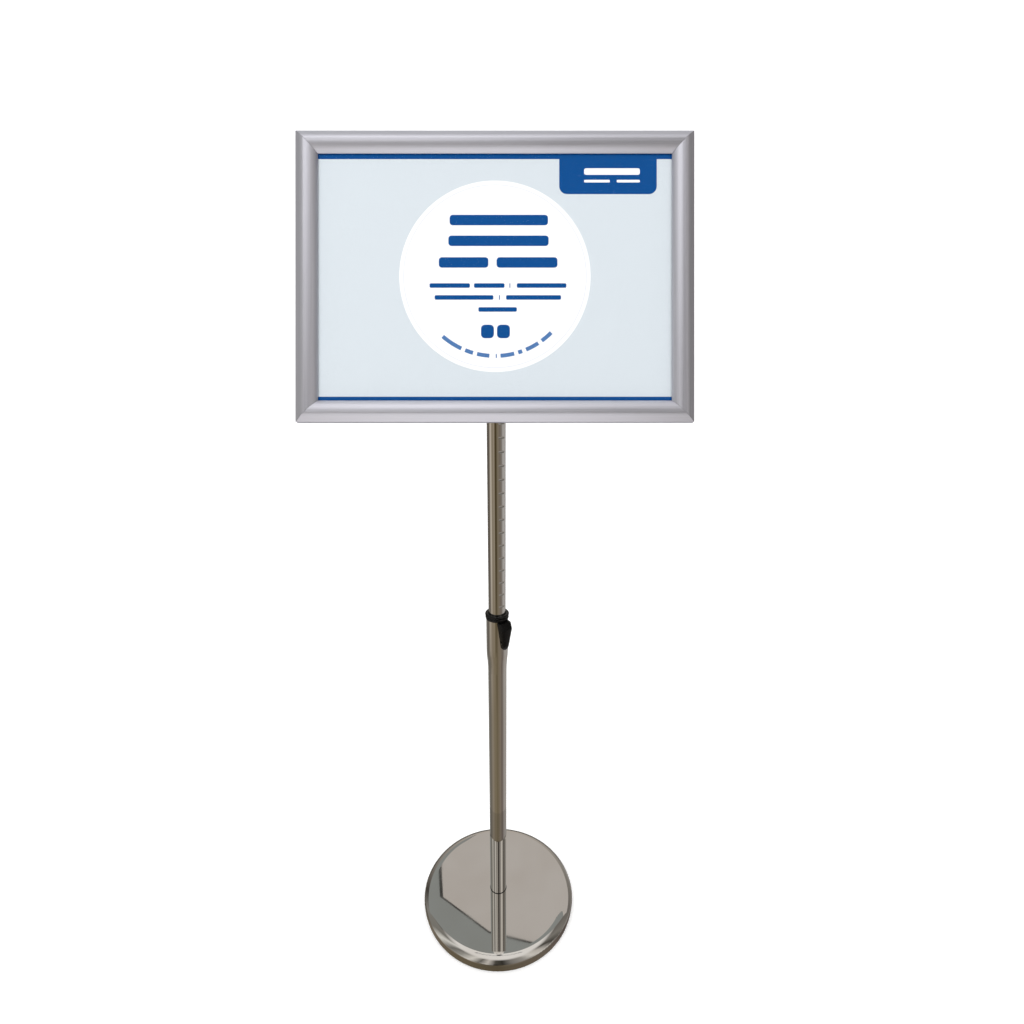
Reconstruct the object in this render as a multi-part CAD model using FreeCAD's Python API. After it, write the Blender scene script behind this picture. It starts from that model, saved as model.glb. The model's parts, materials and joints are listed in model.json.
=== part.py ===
import FreeCAD, Part
import math
import os

# Floor sign stand: a round weighted foot, a telescopic chromed pole with a push-down height
# latch, and a landscape snap frame for a printed sheet that tilts and turns on the pole.
# Millimetres. The origin is the middle of the foot on the floor, +Z is up, the sign faces -Y.

V = FreeCAD.Vector
UP = V(0, 0, 1)

# Overall
hinge_height = 1012.0        # floor to the tilt axis
head_tilt = 19.5             # how far the sign leans back as stored, degrees from vertical
head_reach = 50.0            # tilt axis to the crest of the frame
part_gap = 0.3               # air between pieces that pass each other
running_gap = 0.05           # radial play of a shaft in its bore
face_gap = 0.1               # play between flat faces that turn on each other
fit_gap = 0.1                # air round a piece pushed into another to stay there
spare = 1.0                  # how far a cutting tool reaches past the material it cuts

# Foot
foot_diameter = 260.0
foot_height = 24.0
foot_lip_width = 17.0        # roll from the flat top into the side, across
foot_lip_height = 11.0       # the same roll, down
foot_lip_radius = 7.0        # its tighter part, at the side
foot_side_bulge = 1.5        # how far the side draws in again at the floor
foot_sheet = 1.0             # wall of the pressed cover
edge_trim_wall = 1.2
edge_trim_height = 4.0
edge_trim_play = 0.5         # air on either side of the trim
foot_lift = 2.0              # floor to the lower edge of the cover
floor_pad_hole = 60.0
weight_thickness = 17.0
weight_play = 3.0            # between the weight and the inside of the cover
weight_chamfer = 2.0
weight_recess_play = 1.0     # air round the foot washer in the weight's recess
foot_bolt_size = 10.0
foot_bolt_head = 16.0
foot_bolt_head_height = 6.0
foot_bolt_head_lift = 2.0    # lower edge of the cover to the bolt's head
foot_bolt_reach = 20.0       # how far the bolt goes up into the tube
foot_washer_diameter = 26.0
foot_washer_thickness = 2.0

# Outer tube
outer_wall = 1.2
tube_play = 0.3              # air all round between the inner tube and the outer
swage_wall = 1.5             # wall of the widened mouth that takes the guide sleeve
rim_height = 563.0           # floor to the top rim of the outer tube
swage_length = 51.0
swage_taper = 40.0           # length over which the mouth narrows to the tube
tube_gasket_thickness = 0.8
gasket_lip = 0.4             # how far the gasket shows round the tube
tube_plug_length = 32.0

# Inner tube
inner_diameter = 25.0
inner_wall = 1.5
tube_overlap = 163.0         # how much of it stands inside the outer tube as stored
notch_pitch = 19.0
notch_depth = 1.1
notch_radius = 2.2
notches_below = 3
foot_bush_length = 12.0
foot_bush_flange = 3.0

# Collar, guide sleeve and height latch
latch_azimuth = 37.0         # turn of the latch to the right of the front, degrees
collar_wall = 1.5            # how far the collar stands out over the outer tube's mouth
collar_height = 9.0
collar_skirt = 1.0           # how far it reaches down over the rim
collar_chamfer = 1.5         # at the upper end of its bore
bead_step = 0.4              # how far the lower bead stands back from the upper
sleeve_length = 46.0
sleeve_wall = 1.95
boss_width = 9.0
boss_height = 18.0
boss_stand = 1.3             # how far the boss stands out of the tube
boss_drop = 23.0             # rim to the top of the boss
boss_root = 0.5              # how deep in the sleeve's wall the boss starts
pin_drop = 34.8              # rim to the middle of the lock pin
pin_width = 5.0
pin_key_diameter = 2.0
pin_key_length = 12.0
pin_clear = 0.15             # air between the pin and the inner tube
pin_end = 0.1                # how far the pin stands out past its key
latch_travel = 5.0
pin_ratio = 0.25             # radial travel of the pin for each millimetre of the latch
latch_top_width = 20.0
latch_tip_width = 10.0
latch_length = 45.0
latch_thumb_drop = 9.0       # top of the latch to its thickest point
latch_top_reach = 4.0        # how far the latch stands off the tube at its top
latch_thumb_reach = 9.3      # the same at its thickest point
latch_tip_reach = 6.0        # the same at its lower tip
latch_nose = ((0.4, 7.0), (-1.5, 2.0), (-4.0, 0.0))     # tip's rounding: (out from its reach, up)
latch_roof = 4.0             # top of the latch to the spring's pocket
thumb_ribs = 5
rib_depth = 0.5
rib_margin = 3.5             # end of a rib to the side of the latch
rib_end = 0.8                # part of a rib's pitch left plain above the first and below the last
spring_wire = 0.5
spring_coil = 3.6
spring_turns = 6

# Tilt joint behind the sign
plug_length = 30.0
plug_flange = 3.0
tilt_boss_radius = 11.0      # rounded end of the tongue and of the bracket's ears
tube_top_drop = 19.0         # tilt axis to the top of the inner tube
tongue_width = 14.0
fibre_washer = 1.2
fibre_washer_inset = 1.0     # edge of the tongue to the edge of its washer
ear_thickness = 2.5
ear_flare = 5.0              # how much wider each way the ears are at the bracket's plate
tilt_bolt_size = 6.0
tilt_bolt_head = 10.0
tilt_bolt_head_height = 4.0
steel_washer = 1.4
steel_washer_diameter = 12.0
knob_diameter = 30.0
knob_thickness = 18.0
knob_lobes = 6
knob_lobe_radius = 4.0
knob_lobe_stand = 1.5        # how far the lobes stand out of the core
knob_dip_share = 1.12        # centres of the dips between lobes, in knob radii
insert_diameter = 10.0
insert_length = 13.0
bracket_plate_diameter = 44.0
bracket_plate = 2.5
swivel_size = 8.0
swivel_flange_diameter = 16.0
swivel_flange = 0.8
friction_disc = 1.5
friction_inset = 2.0         # edge of the bracket's plate to the edge of the disc
swivel_washer_diameter = 16.0
swivel_washer = 1.5
swivel_nut_width = 13.0
swivel_nut_height = 8.0
nut_collar = 1.5             # height of the nut's locking collar
nut_collar_inset = 0.6
stud_end = 1.5               # thread that shows past the nut
cross_bar_width = 40.0
cross_bar_thickness = 2.0
cross_bar_corner = 6.0
cross_bar_inset = 7.5        # edge of the frame to the end of the bar
bar_screw_spacing = 20.0
bar_screw_size = 4.0
bar_screw_shift = 2.0        # how far inward of the flange's middle the screws sit
bar_screw_reach = 2.6        # how far they reach into the frame
bar_head_diameter = 7.6
bar_head_height = 2.4
slot_width = 1.0
slot_length = 5.0
slot_depth = 1.1

# Printed sheet and what holds it
sheet_width = 420.0
sheet_height = 297.0
sheet_overlap = 7.0          # how far the snap rails cover the sheet
panel_thickness = 2.0
poster_thickness = 0.2
cover_thickness = 0.5

# Snap frame extrusions: u runs inward from the outer edge, w runs forward from the back face
profile_width = 25.0
frame_depth = 12.5
flange_seat = 4.0            # how far the back flange reaches under the sheet
flange_thickness = 1.2
edge_height = 2.6
bead_u = 2.0
bead_w = 5.5
bead_radius = 1.5
bead_play = 0.08
web_thickness = 1.0
rail_wall = 1.2
crest_u = 11.0
bevel_roll = 9.0             # radius between the outer bevel and the crest
lip_thickness = 1.15
lip_play = 0.25
lip_lean = 0.1               # how much the lip's edge leans
mitre_gap = 0.15             # each side of a rail mitre
mitre_reach = 5.0            # how far the block that trims the mitres stands past the bar
profile_mitre_gap = 0.05     # each side of a mitre in the fixed profiles
hook_open_end = -45.0        # the hook runs from here round the bead, degrees from +u
hook_root = 50.0
hook_edge = 135.0
hook_cutback = 1.5
spring_gauge = 0.5
leaf_inset = 1.5             # edge of the sheet to the leaf's fixed end
leaf_foot = 4.0              # length that lies flat on the flange
leaf_bend = 0.3              # how much further in the bend's upper corner lies
leaf_from_hook = 2.6         # hook to the leaf's tip
leaf_from_rail = 2.1         # underside of the rail to the leaf's tip
leaf_end_cut = (0.45, 0.2)   # lower corner of the tip, back and down from the upper one
long_spring = 60.0
short_spring = 50.0
key_leg = 45.0
key_width = 10.0
key_thickness = 1.5
key_inset = 5.2
key_screw_size = 3.0
key_screw_end = 7.0          # end of a key's leg to its screw
key_head_diameter = 5.4
key_head_height = 1.6

# Worked out from the sizes above
frame_width = sheet_width - 2 * sheet_overlap + 2 * profile_width
frame_height = sheet_height - 2 * sheet_overlap + 2 * profile_width
frame_back = head_reach - frame_depth
tube_top = hinge_height - tube_top_drop
tube_bottom = rim_height - tube_overlap
pin_height = rim_height - pin_drop
latch_top = rim_height - collar_skirt - part_gap
tube_base = foot_height + tube_gasket_thickness
inner_radius = inner_diameter / 2
outer_bore = inner_radius + tube_play
outer_radius = outer_bore + outer_wall
sleeve_bore = inner_radius + running_gap
sleeve_radius = sleeve_bore + sleeve_wall
swage_radius = sleeve_radius + swage_wall
ear_inside = tongue_width / 2 + face_gap + fibre_washer
ear_outside = ear_inside + ear_thickness
bar_back = frame_back - cross_bar_thickness
plate_front = bar_back - friction_disc
plate_back = plate_front - bracket_plate
washer_back = plate_back - face_gap - swivel_washer
nut_back = washer_back - swivel_nut_height
flange_width = profile_width - sheet_overlap + flange_seat
hook_inner = bead_radius + bead_play
hook_outer = hook_inner + rail_wall
panel_front = flange_thickness + panel_thickness
poster_front = panel_front + poster_thickness
cover_front = poster_front + cover_thickness


def cylinder(radius, low, high, centre=(0, 0)):
    """Upright cylinder between two heights."""
    return Part.makeCylinder(radius, high - low, V(centre[0], centre[1], low))


def tube(outer, inner, low, high, centre=(0, 0)):
    """Upright ring or tube."""
    return cylinder(outer, low, high, centre).cut(cylinder(inner, low - spare, high + spare, centre))


def box(x, y, z):
    """Box from three (low, high) pairs."""
    return Part.makeBox(x[1] - x[0], y[1] - y[0], z[1] - z[0], V(x[0], y[0], z[0]))


def prism(points, direction):
    """Straight prism on a closed outline of points."""
    return Part.Face(Part.makePolygon(points + points[:1])).extrude(direction)


def turned(outline):
    """Solid of revolution about Z from (radius, height) points."""
    face = Part.Face(Part.makePolygon([V(r, 0, z) for r, z in outline + outline[:1]]))
    return face.revolve(V(0, 0, 0), UP, 360)


def arc_points(centre, radius, start, end, steps):
    """Evenly spaced (radius, height) points on an arc, angles in degrees."""
    turns = [math.radians(start + (end - start) * i / steps) for i in range(steps + 1)]
    return [(centre[0] + radius * math.cos(a), centre[1] + radius * math.sin(a)) for a in turns]


def hexagon(width, low, high, axis=UP):
    """Hexagonal prism along an axis, width across flats."""
    corner = width / math.sqrt(3)
    points = []
    for i in range(6):
        a = math.radians(60 * i)
        points.append(V(corner * math.cos(a), corner * math.sin(a), 0))
    solid = prism(points, V(0, 0, high - low))
    solid.Placement = FreeCAD.Placement(axis * low, FreeCAD.Rotation(UP, axis))
    return solid


# ---------------------------------------------------------------- foot

def foot_outline(inset):
    """Outer outline of the foot cover, drawn in by inset, as edges in the XZ plane."""
    radius = foot_diameter / 2 - inset
    flat = foot_diameter / 2 - foot_lip_width
    top = foot_height - inset
    across = foot_lip_width - foot_lip_radius
    drop = foot_lip_height - foot_lip_radius
    crown = (across ** 2 + foot_lip_height ** 2 - foot_lip_radius ** 2) / (2 * drop)
    meet = math.degrees(math.atan2(crown - foot_lip_height, across))
    low = foot_lift - inset
    floor_radius = radius - foot_side_bulge
    belly = foot_height - foot_lip_height
    middle = (belly + low) / 2
    lean = foot_side_bulge / (belly - low)
    side = V(radius - lean * (belly - middle) / 2, 0, middle)
    upper = arc_points((flat, foot_height - crown), crown - inset, 90, meet, 2)
    lower = arc_points((flat + across, belly), foot_lip_radius - inset, meet, 0, 2)
    return [
        Part.LineSegment(V(0, 0, top), V(flat, 0, top)).toShape(),
        Part.Arc(*[V(r, 0, z) for r, z in upper]).toShape(),
        Part.Arc(*[V(r, 0, z) for r, z in lower]).toShape(),
        Part.Arc(V(radius, 0, belly), side, V(floor_radius, 0, low)).toShape(),
        Part.LineSegment(V(floor_radius, 0, low), V(0, 0, low)).toShape(),
        Part.LineSegment(V(0, 0, low), V(0, 0, top)).toShape(),
    ]


def foot_body(inset):
    """Solid bounded by the cover's outline, drawn in by inset."""
    return Part.Face(Part.Wire(foot_outline(inset))).revolve(V(0, 0, 0), UP, 360)


def base_cover():
    """Pressed and chromed steel cover, open underneath."""
    hole = cylinder(foot_bolt_size / 2 + part_gap, 0, foot_height + spare)
    return foot_body(0).cut(foot_body(foot_sheet)).cut(hole)


def trim_radius():
    """Outer radius of the rubber trim."""
    return foot_diameter / 2 - foot_side_bulge - foot_sheet - edge_trim_play


def edge_trim():
    """Rubber trim inside the lower edge of the cover."""
    return tube(trim_radius(), trim_radius() - edge_trim_wall, foot_lift, foot_lift + edge_trim_height)


def base_weight():
    """Cast iron disc with a counterbore for the bolt head."""
    radius = foot_diameter / 2 - foot_lip_width - weight_play
    low = foot_height - foot_sheet - weight_thickness
    disc = cylinder(radius, low, foot_height - foot_sheet)
    disc = disc.makeChamfer(weight_chamfer, [e for e in disc.Edges if len(e.Vertexes) == 1])
    bore = cylinder(foot_bolt_size / 2 + part_gap, low - spare, foot_height)
    recess = cylinder(foot_washer_diameter / 2 + weight_recess_play, low - spare, bolt_seat())
    return disc.cut(bore).cut(recess)


def bolt_seat():
    """Height of the face in the weight that the bolt pulls on."""
    return foot_lift + foot_bolt_head_lift + foot_bolt_head_height + foot_washer_thickness


def floor_pad():
    """Soft ring glued under the weight; it is what stands on the floor."""
    low_weight = foot_height - foot_sheet - weight_thickness
    outer = trim_radius() - edge_trim_wall - edge_trim_play
    return tube(outer, floor_pad_hole / 2, 0, low_weight)


def base_bolt():
    """Hexagon bolt up through the weight and the cover into the tube's plug."""
    head = hexagon(foot_bolt_head, bolt_seat() - foot_washer_thickness - foot_bolt_head_height,
                   bolt_seat() - foot_washer_thickness)
    shank = cylinder(foot_bolt_size / 2, bolt_seat() - foot_washer_thickness, tube_base + foot_bolt_reach)
    return head.fuse(shank)


def base_washer():
    """Washer under the foot bolt's head."""
    return tube(foot_washer_diameter / 2, foot_bolt_size / 2 + part_gap,
                bolt_seat() - foot_washer_thickness, bolt_seat())


# ---------------------------------------------------------------- outer tube

def tube_gasket():
    """Thin ring under the outer tube that saves the chrome of the cover."""
    return tube(outer_radius + gasket_lip, foot_bolt_size / 2 + part_gap, foot_height, tube_base)


def tube_plug():
    """Threaded steel plug pressed into the lower end of the outer tube."""
    return tube(outer_bore, foot_bolt_size / 2, tube_base, tube_base + tube_plug_length)


def outer_outline(radius, mouth):
    """Half section of the outer tube's outside or inside, from the axis out, floor end to rim."""
    start = rim_height - swage_length - swage_taper
    end = rim_height - swage_length
    middle = (start + end) / 2
    taper = Part.BezierCurve()
    taper.setPoles([V(radius, 0, start), V(radius, 0, middle), V(mouth, 0, middle), V(mouth, 0, end)])
    return [
        Part.LineSegment(V(0, 0, tube_base), V(radius, 0, tube_base)).toShape(),
        Part.LineSegment(V(radius, 0, tube_base), V(radius, 0, start)).toShape(),
        taper.toShape(),
        Part.LineSegment(V(mouth, 0, end), V(mouth, 0, rim_height)).toShape(),
        Part.LineSegment(V(mouth, 0, rim_height), V(0, 0, rim_height)).toShape(),
        Part.LineSegment(V(0, 0, rim_height), V(0, 0, tube_base)).toShape(),
    ]


def outer_tube():
    """Chromed steel tube with a swaged mouth and a window for the latch boss."""
    solids = []
    for radius, mouth in ((outer_radius, swage_radius), (outer_bore, sleeve_radius)):
        wire = Part.Wire(outer_outline(radius, mouth))
        solids.append(Part.Face(wire).revolve(V(0, 0, 0), UP, 360))
    window = latch_turn(boss_block(fit_gap, swage_radius + spare))
    return solids[0].cut(solids[1]).cut(window)


# ---------------------------------------------------------------- guide sleeve, collar, latch

def latch_turn(shape):
    """Turn a piece built facing -Y to where the latch sits."""
    shape.rotate(V(0, 0, 0), UP, latch_azimuth)
    return shape


def boss_block(grow, reach):
    """Block of the sleeve's boss, from the tube wall out to reach, grown all round."""
    half = boss_width / 2 + grow
    top = rim_height - boss_drop + grow
    low = rim_height - boss_drop - boss_height - grow
    return box((-half, half), (-reach, -sleeve_bore - boss_root), (low, top))


def guide_sleeve():
    """Acetal sleeve in the tube's mouth that the inner tube runs in; its boss guides the latch."""
    low = rim_height - sleeve_length
    body = cylinder(sleeve_radius, low, rim_height)
    body = body.fuse(latch_turn(boss_block(0, swage_radius + boss_stand)))
    slot = box((-pin_width / 2 - running_gap, pin_width / 2 + running_gap),
               (-swage_radius - boss_stand - spare, 0),
               (pin_height - pin_width / 2 - running_gap, pin_height + pin_width / 2 + running_gap))
    return body.cut(cylinder(sleeve_bore, low - spare, rim_height + spare)).cut(latch_turn(slot))


def collar():
    """Black ring with two beads that caps the rim."""
    outer = swage_radius + collar_wall
    low = rim_height - collar_skirt
    top = low + collar_height
    bead = collar_height / 4
    skirt = swage_radius + fit_gap
    bore = inner_radius + part_gap
    lower = arc_points((outer - bead_step - bead, low + bead), bead, -45, 60, 8)
    upper = arc_points((outer - bead, top - bead), bead, -60, 90, 8)
    points = [(skirt, low), (lower[0][0], low)] + lower + upper
    points += [(bore + collar_chamfer, top), (bore, top - collar_chamfer)]
    points += [(bore, rim_height), (skirt, rim_height)]
    return turned(points)


def latch_side():
    """Side view of the latch: (distance from the pole's axis, height) from the top down."""
    tip = latch_top - latch_length
    thumb = latch_top - latch_thumb_drop
    return [
        (swage_radius + latch_top_reach, latch_top),
        (swage_radius + latch_thumb_reach, thumb),
    ] + [(swage_radius + latch_tip_reach + out, tip + up) for out, up in latch_nose]


def latch_body():
    """Outer form of the latch slider, before its pocket is cut."""
    tip = latch_top - latch_length
    radius = latch_tip_width / 2
    half = latch_top_width / 2
    reach = -swage_radius - latch_thumb_reach - spare
    front = [
        Part.LineSegment(V(-half, reach, latch_top), V(half, reach, latch_top)).toShape(),
        Part.LineSegment(V(half, reach, latch_top), V(radius, reach, tip + radius)).toShape(),
        Part.Arc(V(radius, reach, tip + radius), V(0, reach, tip),
                 V(-radius, reach, tip + radius)).toShape(),
        Part.LineSegment(V(-radius, reach, tip + radius), V(-half, reach, latch_top)).toShape(),
    ]
    outline = Part.Face(Part.Wire(front)).extrude(V(0, -reach, 0))
    side = latch_side()
    start = -half - spare
    points = [V(start, -r, z) for r, z in side] + [V(start, 0, tip), V(start, 0, latch_top)]
    body = outline.common(prism(points, V(-2 * start, 0, 0)))
    return body.cut(cylinder(swage_radius + part_gap, tip - spare, latch_top + spare))


def rib_grooves():
    """Shallow grooves across the thumb face."""
    (r0, z0), (r1, z1) = latch_side()[:2]
    grooves = []
    for i in range(thumb_ribs):
        share = (i + rib_end) / (thumb_ribs - 1 + 2 * rib_end)
        centre = V(-latch_top_width / 2 + rib_margin, -(r0 + (r1 - r0) * share), z0 + (z1 - z0) * share)
        grooves.append(Part.makeCylinder(rib_depth, latch_top_width - 2 * rib_margin, centre, V(1, 0, 0)))
    return grooves


def latch_slider():
    """Thumb slider: pushed down, its slanted slots draw the lock pin out of the tube."""
    body = latch_body()
    pocket_half = boss_width / 2 + part_gap
    pocket_out = swage_radius + latch_top_reach + part_gap
    low = rim_height - boss_drop - boss_height - part_gap
    top = latch_top - latch_roof
    pocket = box((-pocket_half, pocket_half), (-pocket_out, 0), (low, top))
    relief_half = pin_width / 2 + part_gap
    relief_out = pin_outer() + latch_travel * pin_ratio + part_gap
    relief = box((-relief_half, relief_half), (-relief_out, 0),
                 (pin_height - relief_half, pin_height + latch_travel + relief_half))
    return latch_turn(body.cut(pocket).cut(relief).cut(key_slot()).cut(Part.makeCompound(rib_grooves())))


def key_centre():
    """Distance of the pin's cross key from the pole's axis."""
    return swage_radius + boss_stand + pin_key_diameter / 2 + part_gap


def pin_outer():
    """Distance of the pin's outer end from the pole's axis."""
    return key_centre() + pin_key_diameter / 2 + pin_end


def key_slot():
    """Slanted slot that the pin's cross key rides in."""
    half = pin_key_length / 2 + part_gap
    radius = pin_key_diameter / 2 + face_gap
    start = V(-half, -key_centre(), pin_height)
    end = V(-half, -key_centre() - latch_travel * pin_ratio, pin_height + latch_travel)
    along = (end - start).normalize()
    across = V(0, along.z, -along.y) * radius
    slot = prism([start + across, end + across, end - across, start - across], V(2 * half, 0, 0))
    for point in (start, end):
        slot = slot.fuse(Part.makeCylinder(radius, 2 * half, point, V(1, 0, 0)))
    return slot


def lock_pin():
    """Steel pin with a cross key; its nose faces a notch of the inner tube."""
    half = pin_width / 2
    block = box((-half, half), (-pin_outer(), -inner_radius + spare), (pin_height - half, pin_height + half))
    key = Part.makeCylinder(pin_key_diameter / 2, pin_key_length,
                            V(-pin_key_length / 2, -key_centre(), pin_height), V(1, 0, 0))
    nose = cylinder(inner_radius + pin_clear, pin_height - pin_width, pin_height + pin_width)
    return latch_turn(block.fuse(key).cut(nose))


def latch_spring():
    """Small coil spring between the boss and the roof of the latch's pocket."""
    low = rim_height - boss_drop + spring_wire / 2 + running_gap
    high = latch_top - latch_roof - spring_wire / 2 - running_gap
    radius = (spring_coil - spring_wire) / 2
    centre = V(0, -swage_radius - part_gap - spring_coil / 2, low)
    helix = Part.makeHelix((high - low) / spring_turns, high - low, radius)
    wire = Part.Wire(Part.makeCircle(spring_wire / 2, V(radius, 0, 0), V(0, 1, 0)))
    coil = Part.Wire(helix.Edges).makePipeShell([wire], True, True)
    coil.translate(centre)
    return latch_turn(coil)


# ---------------------------------------------------------------- inner tube

def notch_heights():
    """Heights of the notches, one at the lock pin and the rest a pitch apart."""
    room = tube_top - plug_length - 2 * notch_pitch - pin_height
    above = max(0, int(room // notch_pitch))
    return [pin_height + notch_pitch * i for i in range(-notches_below, above + 1)]


def inner_tube():
    """Chromed steel tube with a row of pressed notches for the lock pin."""
    body = tube(inner_radius, inner_radius - inner_wall, tube_bottom, tube_top)
    distance = inner_radius - notch_depth + notch_radius
    for height in notch_heights():
        start = V(-inner_radius, -distance, height)
        body = body.cut(latch_turn(Part.makeCylinder(notch_radius, inner_diameter, start, V(1, 0, 0))))
    return body


def foot_bush():
    """Nylon bush in the lower end of the inner tube; it runs in the outer tube."""
    spigot = cylinder(inner_radius - inner_wall, tube_bottom, tube_bottom + foot_bush_length)
    flange = cylinder(outer_bore - running_gap, tube_bottom - foot_bush_flange, tube_bottom)
    return flange.fuse(spigot)


def mast_plug():
    """Nylon plug in the top of the inner tube, with the tongue that the sign tilts on."""
    spigot = cylinder(inner_radius - inner_wall, tube_top - plug_length, tube_top)
    flange = cylinder(inner_radius, tube_top, tube_top + plug_flange)
    half = tongue_width / 2
    neck = box((-half, half), (-tilt_boss_radius, tilt_boss_radius), (tube_top + plug_flange, hinge_height))
    end = cross_cylinder(tilt_boss_radius, -half, half)
    hole = cross_cylinder(tilt_bolt_size / 2 + running_gap, -half - spare, half + spare)
    return spigot.fuse(flange).fuse(neck).fuse(end).cut(hole)


def cross_cylinder(radius, low, high):
    """Cylinder along the tilt axis."""
    return Part.makeCylinder(radius, high - low, V(low, 0, hinge_height), V(1, 0, 0))


# ---------------------------------------------------------------- tilt and swivel hardware
# These pieces and the sign are built with the tilt axis on X through the origin and the sign
# facing +Z, sheet upward along +Y. lean() then stands them up on the pole.

def lean(shape):
    """Stand a head piece up at the stored tilt on the tilt axis."""
    shape = shape.copy()
    turn = FreeCAD.Placement(V(0, 0, hinge_height), FreeCAD.Rotation(V(1, 0, 0), 90 - head_tilt))
    shape.Placement = turn.multiply(shape.Placement)
    return shape


def ear(side):
    """One ear of the tilt bracket, from its plate back round the tilt bolt."""
    start = ear_inside if side > 0 else -ear_outside
    wide = tilt_boss_radius + ear_flare
    points = [(-wide, plate_back), (wide, plate_back), (tilt_boss_radius, 0), (-tilt_boss_radius, 0)]
    cheek = prism([V(start, y, z) for y, z in points], V(ear_thickness, 0, 0))
    end = Part.makeCylinder(tilt_boss_radius, ear_thickness, V(start, 0, 0), V(1, 0, 0))
    return cheek.fuse(end)


def tilt_bracket():
    """Pressed steel bracket: a round plate that the sign turns on, and two ears on the bolt."""
    plate = cylinder(bracket_plate_diameter / 2, plate_back, plate_front)
    body = plate.fuse(ear(1)).fuse(ear(-1))
    bolt = Part.makeCylinder(tilt_bolt_size / 2, 4 * ear_outside, V(-2 * ear_outside, 0, 0), V(1, 0, 0))
    stud = cylinder(swivel_size / 2 + running_gap, plate_back - spare, plate_front + spare)
    return lean(body.cut(bolt).cut(stud))


def tilt_washers():
    """Two fibre washers beside the tongue and a steel one under the knob."""
    rings = []
    fibre_radius = tilt_boss_radius - fibre_washer_inset
    spans = [(ear_inside - fibre_washer, ear_inside, fibre_radius),
             (-ear_inside, -ear_inside + fibre_washer, fibre_radius),
             (ear_outside, ear_outside + steel_washer, steel_washer_diameter / 2)]
    for low, high, radius in spans:
        ring = Part.makeCylinder(radius, high - low, V(low, 0, 0), V(1, 0, 0))
        hole = Part.makeCylinder(tilt_bolt_size / 2, high - low, V(low, 0, 0), V(1, 0, 0))
        rings.append(ring.cut(hole))
    return lean(Part.makeCompound(rings))


def knob_start():
    """Distance of the knob's inner face from the middle of the bracket."""
    return ear_outside + steel_washer + face_gap


def tilt_bolt():
    """Hexagon bolt through the ears and the tongue; the knob pulls it tight."""
    head = hexagon(tilt_bolt_head, -ear_outside - tilt_bolt_head_height, -ear_outside, V(1, 0, 0))
    end = knob_start() + insert_length
    shank = Part.makeCylinder(tilt_bolt_size / 2, end + ear_outside, V(-ear_outside, 0, 0), V(1, 0, 0))
    return lean(head.fuse(shank))


def knob_insert():
    """Threaded brass insert moulded into the knob."""
    start = V(knob_start(), 0, 0)
    body = Part.makeCylinder(insert_diameter / 2, insert_length, start, V(1, 0, 0))
    thread = Part.makeCylinder(tilt_bolt_size / 2 + running_gap, insert_length, start, V(1, 0, 0))
    return lean(body.cut(thread))


def tilt_knob():
    """Lobed hand knob."""
    start = knob_start()
    radius = knob_diameter / 2
    core = Part.makeCylinder(radius - knob_lobe_stand, knob_thickness, V(start, 0, 0), V(1, 0, 0))
    for i in range(knob_lobes):
        a = math.radians(360 / knob_lobes * i)
        distance = radius - knob_lobe_radius
        centre = V(start, distance * math.cos(a), distance * math.sin(a))
        core = core.fuse(Part.makeCylinder(knob_lobe_radius, knob_thickness, centre, V(1, 0, 0)))
        b = a + math.radians(180 / knob_lobes)
        away = radius * knob_dip_share
        dip = V(start - spare, away * math.cos(b), away * math.sin(b))
        core = core.cut(Part.makeCylinder(knob_lobe_radius, knob_thickness + 2 * spare, dip, V(1, 0, 0)))
    bore = Part.makeCylinder(insert_diameter / 2, insert_length, V(start, 0, 0), V(1, 0, 0))
    return lean(core.cut(bore))


def friction_washer():
    """Fibre disc that the sign turns on when it goes from landscape to portrait."""
    return lean(tube(bracket_plate_diameter / 2 - friction_inset, swivel_size / 2 + running_gap,
                     plate_front, bar_back - face_gap))


def swivel_stud():
    """Stud welded to the cross bar; the sign turns about it."""
    flange = cylinder(swivel_flange_diameter / 2, frame_back, frame_back + swivel_flange)
    return lean(flange.fuse(cylinder(swivel_size / 2, nut_back - stud_end, frame_back)))


def swivel_washer_ring():
    """Steel washer between the bracket's plate and the nut."""
    return lean(tube(swivel_washer_diameter / 2, swivel_size / 2, washer_back, washer_back + swivel_washer))


def swivel_nut():
    """Self-locking nut."""
    nut = hexagon(swivel_nut_width, nut_back + nut_collar, washer_back)
    lock = cylinder(swivel_nut_width / 2 - nut_collar_inset, nut_back, nut_back + nut_collar)
    thread = cylinder(swivel_size / 2, nut_back - spare, washer_back + spare)
    return lean(nut.fuse(lock).cut(thread))


# ---------------------------------------------------------------- snap frame

def section_arc(centre, radius, start, end):
    """Arc in a profile section, from (u, w) centre, angles in degrees from +u towards +w."""
    points = []
    for angle in (start, (start + end) / 2, end):
        a = math.radians(angle)
        points.append(V(0, -centre[0] - radius * math.cos(a), centre[1] + radius * math.sin(a)))
    return Part.Arc(*points).toShape()


def section_line(start, end):
    """Straight edge in a profile section between two (u, w) points."""
    return Part.LineSegment(V(0, -start[0], start[1]), V(0, -end[0], end[1])).toShape()


def on_circle(centre, radius, angle):
    """Point of a circle in a profile section, angle in degrees from +u."""
    a = math.radians(angle)
    return centre[0] + radius * math.cos(a), centre[1] + radius * math.sin(a)


def extruded(edges, length):
    """Extrude a section along X, centred."""
    solid = Part.Face(Part.Wire(edges)).extrude(V(length, 0, 0))
    solid.translate(V(-length / 2, 0, 0))
    return solid


def mitred(solid, length, gap):
    """Cut both ends of a bar to 45 degrees, gap short of the corner's diagonal."""
    half = length / 2 - gap
    reach = profile_width + mitre_reach
    points = [V(-half - reach, reach, -mitre_reach), V(half + reach, reach, -mitre_reach),
              V(half - reach, -reach, -mitre_reach), V(-half + reach, -reach, -mitre_reach)]
    return solid.common(prism(points, V(0, 0, frame_depth + 2 * mitre_reach)))


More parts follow.
